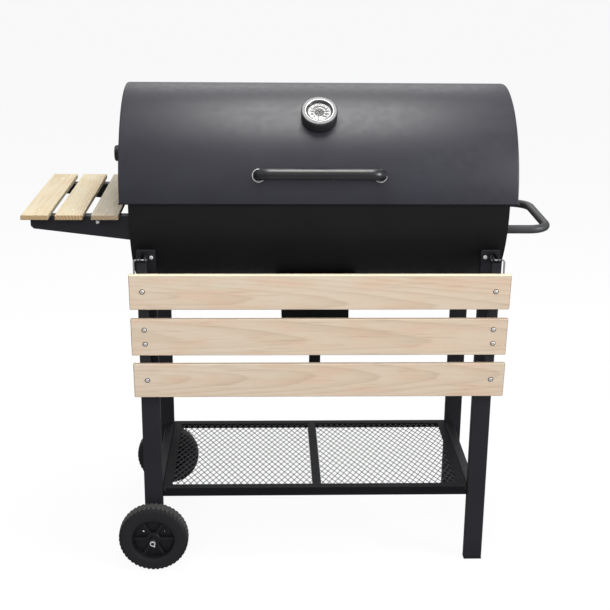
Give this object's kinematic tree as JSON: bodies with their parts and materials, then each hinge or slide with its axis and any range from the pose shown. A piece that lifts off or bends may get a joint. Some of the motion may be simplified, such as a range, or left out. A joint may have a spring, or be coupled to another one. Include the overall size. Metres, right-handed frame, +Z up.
{
  "type": "barrel charcoal grill",
  "caption": "Barrel-shaped charcoal grill with a hinged lid on a wheeled tube stand, with a slatted side shelf, a fold-down front shelf, a push handle and a lower mesh shelf.",
  "frame": {"origin": "on the floor under the middle of the bounding box", "axes": "+Z up, -Y towards the cook (the side with the front shelf), +X towards the push handle, along the barrel"},
  "size_m": [1.1244, 0.5184, 1.055],
  "materials": {
    "barrel_paint": "black heat-resistant paint, satin",
    "lid_paint": "dark grey heat-resistant paint, satin",
    "frame_paint": "black powder coat",
    "handle_paint": "dark grey powder coat",
    "front_wood": "pale pine, oiled",
    "side_wood": "pale yellow pine, oiled",
    "grate_steel": "plated steel",
    "mesh_steel": "dark grey coated expanded metal",
    "ash_steel": "black paint, satin",
    "chrome": "polished",
    "zinc": "zinc-plated",
    "pin_steel": "blackened wire",
    "gauge_black": "black",
    "dial_white": "matt white",
    "gauge_glass": "clear",
    "needle_paint": "dark grey",
    "knob_black": "heat-resistant plastic",
    "plastic_black": "moulded",
    "tyre_rubber": "matt",
    "hub_plastic": "moulded"
  },
  "bodies": {
    "stand": {"barrel_shell": "barrel_paint", "grate_ledge_front": "barrel_paint", "grate_ledge_rear": "barrel_paint", "leg_front_left": "frame_paint", "leg_front_right": "frame_paint", "leg_rear_left": "frame_paint", "leg_rear_right": "frame_paint", "foot_front_right": "plastic_black", "foot_rear_right": "plastic_black", "crossbar_left": "frame_paint", "crossbar_right": "frame_paint", "shelf_frame": "frame_paint", "shelf_mesh": "mesh_steel", "axle_rod": "zinc", "axle_nut_front": "zinc", "axle_nut_rear": "zinc", "push_handle": "handle_paint", "side_arm_front": "frame_paint", "side_arm_rear": "frame_paint", "side_plank_outer": "side_wood", "side_plank_middle": "side_wood", "side_plank_inner": "side_wood", "shelf_bracket_left": "frame_paint", "shelf_bracket_right": "frame_paint", "shelf_pin_left": "pin_steel", "shelf_pin_right": "pin_steel", "ash_rail_left": "frame_paint", "ash_rail_right": "frame_paint", "barrel_hinge_left": "barrel_paint", "barrel_hinge_right": "barrel_paint"},
    "lid": {"lid_shell": "lid_paint", "lid_handle": "handle_paint", "handle_washer_left": "chrome", "handle_washer_right": "chrome", "gauge_body": "gauge_black", "gauge_bezel": "chrome", "gauge_dial": "dial_white", "gauge_glass": "gauge_glass", "lid_hinge_left": "lid_paint", "lid_hinge_right": "lid_paint"},
    "needle": {"gauge_needle": "needle_paint"},
    "damper": {"vent_disc": "lid_paint", "vent_knob": "knob_black"},
    "front_shelf": {"shelf_arm_left": "frame_paint", "shelf_arm_right": "frame_paint", "front_plank_top": "front_wood", "front_plank_middle": "front_wood", "front_plank_bottom": "front_wood"},
    "front_wheel": {"tyre_front": "tyre_rubber", "hub_front": "hub_plastic"},
    "rear_wheel": {"tyre_rear": "tyre_rubber", "hub_rear": "hub_plastic"},
    "ash_drawer": {"ash_box": "ash_steel", "ash_strap": "ash_steel"},
    "cooking_grate_left": {"cooking_grate_left": "grate_steel"},
    "cooking_grate_right": {"cooking_grate_right": "grate_steel"},
    "charcoal_grate": {"charcoal_grate": "grate_steel"}
  },
  "joints": [
    {"name": "lid_hinge", "type": "hinge", "parent": "stand", "child": "lid", "pos_m": [0.05253, 0.23169, 0.839], "axis": [-1, 0, 0], "range_deg": [0, 95]},
    {"name": "front_shelf_hinge", "type": "hinge", "parent": "stand", "child": "front_shelf", "pos_m": [0.05253, -0.23181, 0.728], "axis": [-1, 0, 0], "range_deg": [-3, 94.5]},
    {"name": "needle_turn", "type": "hinge", "parent": "lid", "child": "needle", "pos_m": [0.05133, -0.14495, 1.0193], "axis": [0, 0.6494, -0.7604], "range_deg": [0, 270]},
    {"name": "damper_turn", "type": "hinge", "parent": "lid", "child": "damper", "pos_m": [-0.35897, 0.00819, 0.902], "axis": [1, 0, 0], "range_deg": [0, 45]},
    {"name": "front_wheel_spin", "type": "hinge", "parent": "stand", "child": "front_wheel", "pos_m": [-0.30947, -0.20581, 0.0775], "axis": [0, 1, 0], "continuous": true},
    {"name": "rear_wheel_spin", "type": "hinge", "parent": "stand", "child": "rear_wheel", "pos_m": [-0.30947, 0.22219, 0.0775], "axis": [0, 1, 0], "continuous": true},
    {"name": "ash_drawer_slide", "type": "slide", "parent": "stand", "child": "ash_drawer", "axis": [0, -1, 0], "range_m": [0, 0.08]},
    {"name": "cooking_grate_left_lift", "type": "slide", "parent": "stand", "child": "cooking_grate_left", "axis": [0, 0, 1], "range_m": [0, 0.06]},
    {"name": "cooking_grate_right_lift", "type": "slide", "parent": "stand", "child": "cooking_grate_right", "axis": [0, 0, 1], "range_m": [0, 0.06]},
    {"name": "charcoal_grate_lift", "type": "slide", "parent": "stand", "child": "charcoal_grate", "axis": [0, 0, 1], "range_m": [0, 0.08]}
  ]
}
